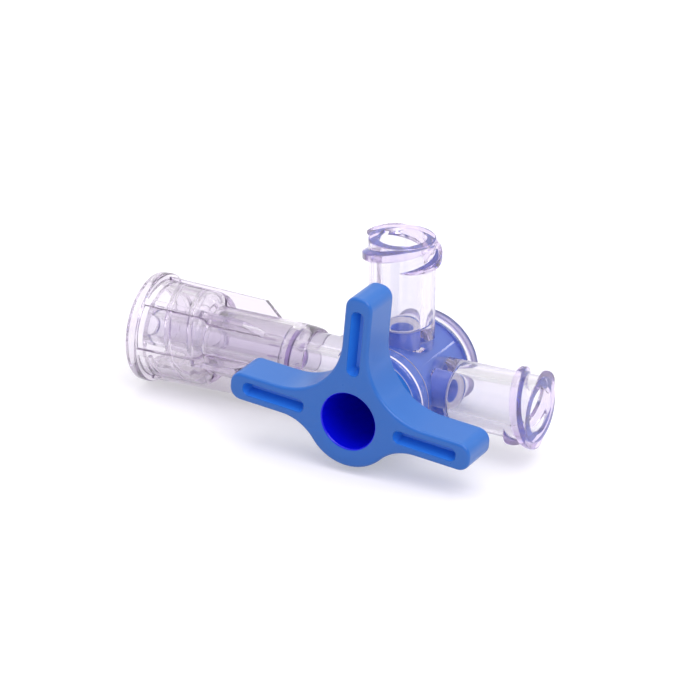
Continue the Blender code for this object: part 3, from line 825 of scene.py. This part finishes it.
def centred(tree, turn_deg):
    """Coordinates of a moulding from the crossing, turned about the plug's axis."""
    coords = tree.nodes.new("ShaderNodeTexCoord")
    place = tree.nodes.new("ShaderNodeMapping")
    place.vector_type = "TEXTURE"
    place.inputs["Location"].default_value = CROSSING
    place.inputs["Rotation"].default_value = (0, math.radians(turn_deg), 0)
    split = tree.nodes.new("ShaderNodeSeparateXYZ")
    tree.links.new(coords.outputs["Object"], place.inputs["Vector"])
    tree.links.new(place.outputs["Vector"], split.inputs["Vector"])
    return split.outputs["X"], split.outputs["Y"], split.outputs["Z"]


def distance_of(tree, first, second):
    """Distance from an axis, from the two coordinates across it."""
    square = maths(tree, "MULTIPLY", second, second)
    return maths(tree, "SQRT", maths(tree, "MULTIPLY_ADD", first, first, square))


def above(tree, value, limit):
    """Zone where a value is over a limit."""
    return maths(tree, "GREATER_THAN", value, limit)


def below(tree, value, limit):
    """Zone where a value is under a limit."""
    return maths(tree, "LESS_THAN", value, limit)


def near(tree, value, middle, reach):
    """Zone where a value lies within reach of a middle."""
    return maths(tree, "COMPARE", value, middle, reach)


def all_of(tree, *zones):
    """Zone that every given zone holds."""
    shared = zones[0]
    for zone in zones[1:]:
        shared = maths(tree, "MULTIPLY", shared, zone)
    return shared


def any_of(tree, *zones):
    """Zone that at least one given zone holds."""
    joined = zones[0]
    for zone in zones[1:]:
        joined = maths(tree, "MAXIMUM", joined, zone)
    return joined


def port_zones(tree, along, off):
    """Zones of one port where light is painted: its lumen, its cup's floor, and its lugs with its end face.
    """
    lumen = all_of(tree, above(tree, along, SEAT_FRONT_RADIUS), below(tree, off, LUMEN_RADIUS + FROST_MARGIN))
    floor = all_of(tree, near(tree, along, PORT_REACH - LUER_DEPTH, LUER_FLOOR_EDGE / 2),
                   below(tree, off, LUER_OPEN_RADIUS))
    lugs = all_of(tree, above(tree, off, PORT_END_RADIUS + FROST_MARGIN),
                  above(tree, along, PORT_REACH - LUG_LEAD))
    return lumen, floor, any_of(tree, lugs, above(tree, along, PORT_REACH - PORT_EDGE / 2))


def body_zones(tree):
    """Zones of the body where reflections and highlights are painted: lumens, cup floors, lugs, the flange's
    outer face and the front rims.
    """
    x, y, z = centred(tree, 0.0)
    radius = distance_of(tree, x, z)
    side = port_zones(tree, z, distance_of(tree, x, y))
    inline = port_zones(tree, x, distance_of(tree, y, z))
    lumens, floors, lugs = (any_of(tree, *pair) for pair in zip(side, inline))
    flange = all_of(tree, above(tree, y, BARREL_REAR - FLANGE_THICKNESS - FROST_MARGIN),
                    above(tree, radius, FLANGE_RADIUS - FLANGE_EDGE / 2))
    rings = ((BARREL_FRONT_RADIUS, BARREL_FRONT - BARREL_EDGE), (RECESS_RADIUS, BARREL_FRONT),
             (RECESS_RADIUS, BARREL_FRONT - RECESS_DEPTH))
    # Painted highlight bands round the front rims
    bands = [all_of(tree, near(tree, radius, size, RIM_HIGHLIGHT_BAND), near(tree, y, -ahead, RIM_HIGHLIGHT_BAND))
             for size, ahead in rings]
    return lumens, floors, lugs, flange, any_of(tree, *bands)


def handle_zones(tree):
    """Zones of the handle where light and shade are painted: the seated plug, the front hole and the slots.
    """
    x, y, z = centred(tree, HANDLE_TURN_DEG)
    radius = distance_of(tree, x, z)
    seated = all_of(tree, near(tree, radius, SEATED_LIGHT_RADIUS, SEATED_LIGHT_DEPTH),
                    near(tree, y, 0.0, BARREL_FRONT - SHOULDER_GAP))
    hole = all_of(tree, below(tree, radius, HOLE_RADIUS + HOLE_EDGE / 2), below(tree, y, 0.0))
    across = maths(tree, "ABSOLUTE", x)
    off_middle = maths(tree, "MINIMUM", across, maths(tree, "ABSOLUTE", z))
    out = maths(tree, "MAXIMUM", across, z)
    slots = all_of(tree, below(tree, off_middle, SLOT_WIDTH / 2),
                   near(tree, out, (SLOT_START + SLOT_END) / 2, (SLOT_END - SLOT_START) / 2),
                   near(tree, y, SLOT_DEPTH / 2 + SLOT_EDGE - HANDLE_FRONT, SLOT_DEPTH / 2))
    return seated, hole, slots


def clear_plastic(name, tint, clarity, depth_tint):
    """Clear polycarbonate: a tint at each surface, a little haze, and a deeper tint along its walls."""
    material, tree = new_material(name)
    shader = tree.nodes["Principled BSDF"]
    shader.inputs["Base Color"].default_value = tint
    shader.inputs["Transmission Weight"].default_value = clarity
    shader.inputs["IOR"].default_value = CLEAR_INDEX
    roughness = grain(tree, *CLEAR_ROUGHNESS)
    tree.links.new(roughness, shader.inputs["Roughness"])
    surface_waves(tree, shader)
    absorb = tree.nodes.new("ShaderNodeVolumeAbsorption")
    absorb.inputs["Color"].default_value = depth_tint
    absorb.inputs["Density"].default_value = WALL_DENSITY
    tree.links.new(absorb.outputs["Volume"], tree.nodes["Material Output"].inputs["Volume"])
    return material, shader, roughness


def body_plastic():
    """Clear plastic of the body, frosted in its zones and tinted there with painted reflections and
    highlights: blue in the lumens, white on the cup floors and front rims, violet on the lugs, end faces and
    flange.
    """
    material, shader, roughness = clear_plastic("clear_polycarbonate_painted_light", CLEAR_TINT,
                                                CLEAR_CLARITY, CLEAR_DEPTH_TINT)
    tree = material.node_tree
    lumens, floors, lugs, flange, rims = body_zones(tree)
    pale = any_of(tree, floors, rims)
    frost = any_of(tree, lumens, pale, flange)
    roughness = maths(tree, "MULTIPLY_ADD", frost, FROST_ROUGHNESS, roughness)
    clarity = CLEAR_CLARITY
    # Painted reflections and highlights: each zone gets its own clarity and tint
    for zone, share in ((lumens, LUMEN_CLARITY), (pale, PAINTED_HIGHLIGHT_CLARITY), (lugs, LUG_CLARITY)):
        clarity = maths(tree, "MULTIPLY_ADD", zone, share - CLEAR_CLARITY, clarity)
    face = CLEAR_TINT
    for zone, tint in ((flange, FLANGE_PAINTED_REFLECTION), (pale, PAINTED_HIGHLIGHT_TINT), (lugs, LUG_PAINTED_REFLECTION),
                       (lumens, LUMEN_PAINTED_REFLECTION)):
        face = tone_mix(tree, zone, face, tint)
    tree.links.new(roughness, shader.inputs["Roughness"])
    tree.links.new(clarity, shader.inputs["Transmission Weight"])
    tree.links.new(face, shader.inputs["Base Color"])
    return material


def collar_plastic():
    """Lilac plastic of the collar, with painted shade at its snap rib."""
    material, shader, _ = clear_plastic("lilac_polycarbonate_painted_shade", LILAC_TINT, LILAC_CLARITY,
                                        LILAC_DEPTH_TINT)
    tree = material.node_tree
    x, y, z = centred(tree, 0.0)
    snap_rib_shade = all_of(tree, near(tree, x, -GROOVE_START - GROOVE_WIDTH / 4, GROOVE_WIDTH / 4),
                      below(tree, distance_of(tree, y, z), STEM_RADIUS + COLLAR_GAP + FROST_MARGIN))
    # Painted shade at the snap rib
    tree.links.new(tone_mix(tree, snap_rib_shade, LILAC_TINT, SNAP_RIB_PAINTED_SHADE), shader.inputs["Base Color"])
    return material


def blue_plastic():
    """Satin blue polyethylene, with painted light on the seated plug and in the slots, and painted shade in
    the hole.
    """
    material, tree = new_material("blue_polyethylene_painted_light")
    shader = tree.nodes["Principled BSDF"]
    seated, hole, slots = handle_zones(tree)
    mottle = object_noise(tree, BLUE_MOTTLE_SCALE, NOISE_DETAIL)
    face = tone_mix(tree, mottle, BLUE_FACE_DEEP, BLUE_FACE_PALE)
    # Painted light on the seated plug and in the slots, painted shade in the hole
    for zone, blue in ((seated, BLUE_SEATED_PAINTED_LIGHT), (slots, BLUE_SLOT_PAINTED_LIGHT), (hole, BLUE_HOLE_PAINTED_SHADE)):
        face = tone_mix(tree, zone, face, blue)
    tree.links.new(face, shader.inputs["Base Color"])
    tree.links.new(grain(tree, *BLUE_ROUGHNESS), shader.inputs["Roughness"])
    return material


def ground_glow(tree):
    """Glow of the ground for the rays that show it: camera rays, and glass and mirror rays."""
    path = tree.nodes.new("ShaderNodeLightPath")
    shown = any_of(tree, path.outputs["Is Camera Ray"], path.outputs["Is Glossy Ray"],
                   path.outputs["Is Transmission Ray"])
    return maths(tree, "MULTIPLY", shown, GROUND_GLOW)


def floor_material():
    """White ground that keeps the part's soft shadow."""
    material, tree = new_material("ground_finish")
    tree.nodes.remove(tree.nodes["Principled BSDF"])
    matte = tree.nodes.new("ShaderNodeBsdfDiffuse")
    matte.inputs["Color"].default_value = (GROUND_WHITE, GROUND_WHITE, GROUND_WHITE, 1.0)
    glow = tree.nodes.new("ShaderNodeEmission")
    glow.inputs["Color"].default_value = WHITE
    both = tree.nodes.new("ShaderNodeAddShader")
    tree.links.new(ground_glow(tree), glow.inputs["Strength"])
    tree.links.new(matte.outputs["BSDF"], both.inputs[0])
    tree.links.new(glow.outputs["Emission"], both.inputs[1])
    tree.links.new(both.outputs["Shader"], tree.nodes["Material Output"].inputs["Surface"])
    return material


def add_floor():
    """The plain pale ground."""
    bm = bmesh.new()
    bmesh.ops.create_grid(bm, x_segments=1, y_segments=1, size=FLOOR_SIZE / 2)
    floor = mesh_object("ground", bm)
    floor.data.materials.append(floor_material())


def add_world():
    """A pale room, dimmer and a little violet behind the camera so that clear edges show."""
    world = bpy.data.worlds.new("pale_room")
    world.use_nodes = True
    bpy.context.scene.world = world
    tree = world.node_tree
    coords = tree.nodes.new("ShaderNodeTexCoord")
    along = tree.nodes.new("ShaderNodeVectorMath")
    along.operation = "DOT_PRODUCT"
    azimuth = math.radians(CAMERA_AZIMUTH_DEG)
    along.inputs[1].default_value = (-math.sin(azimuth), math.cos(azimuth), 0)
    tree.links.new(coords.outputs["Generated"], along.inputs[0])
    ramp = tree.nodes.new("ShaderNodeMapRange")
    ramp.interpolation_type = "SMOOTHSTEP"
    ramp.inputs["From Min"].default_value = ROOM_DIM_FROM
    ramp.inputs["From Max"].default_value = ROOM_WHITE_FROM
    tree.links.new(along.outputs["Value"], ramp.inputs["Value"])
    room = tone_mix(tree, ramp.outputs["Result"], ROOM_DIM, ROOM_WHITE)
    path = tree.nodes.new("ShaderNodeLightPath")
    shown = tone_mix(tree, path.outputs["Is Camera Ray"], room, WHITE)
    tree.links.new(shown, tree.nodes["Background"].inputs["Color"])


def add_lamp(name, place, size, power):
    """A square soft lamp that looks at the part."""
    lamp = bpy.data.lights.new(name, "AREA")
    lamp.shape = "SQUARE"
    lamp.size = size
    lamp.energy = power
    obj = bpy.data.objects.new(name, lamp)
    bpy.context.scene.collection.objects.link(obj)
    obj.location = place
    obj.rotation_euler = (-Vector(place)).to_track_quat("-Z", "Y").to_euler()


def add_camera():
    """The camera at the photograph's angle, with the part off its centre as there."""
    azimuth = math.radians(CAMERA_AZIMUTH_DEG)
    elevation = math.radians(CAMERA_ELEVATION_DEG)
    right = Vector((math.cos(azimuth), math.sin(azimuth), 0))
    back = Vector((math.sin(azimuth) * math.cos(elevation), -math.cos(azimuth) * math.cos(elevation),
                   math.sin(elevation)))
    up = back.cross(right)
    data = bpy.data.cameras.new("camera")
    data.lens = CAMERA_LENS_MM
    data.sensor_width = SENSOR_MM
    data.clip_start = NEAREST_SEEN
    camera = bpy.data.objects.new("camera", data)
    bpy.context.scene.collection.objects.link(camera)
    turn = Matrix((right, up, back)).transposed().to_4x4()
    place = CROSSING - right * VIEW_LEFT_OF_CROSSING + up * VIEW_ABOVE_CROSSING + back * CAMERA_DISTANCE
    camera.matrix_world = Matrix.Translation(place) @ turn
    bpy.context.scene.camera = camera


def long_light_paths():
    """Let light leave the clear walls after many turns inside them."""
    paths = bpy.context.scene.cycles
    paths.max_bounces = LIGHT_TURNS
    paths.transmission_bounces = LIGHT_TURNS
    paths.glossy_bounces = LIGHT_TURNS


add_camera()
add_floor()
add_world()
for lamp_values in LAMPS:
    add_lamp(*lamp_values)

clear_body(body_plastic())
blue_handle(blue_plastic())
lilac_collar(collar_plastic())

bpy.context.scene.view_settings.view_transform = "Standard"
long_light_paths()
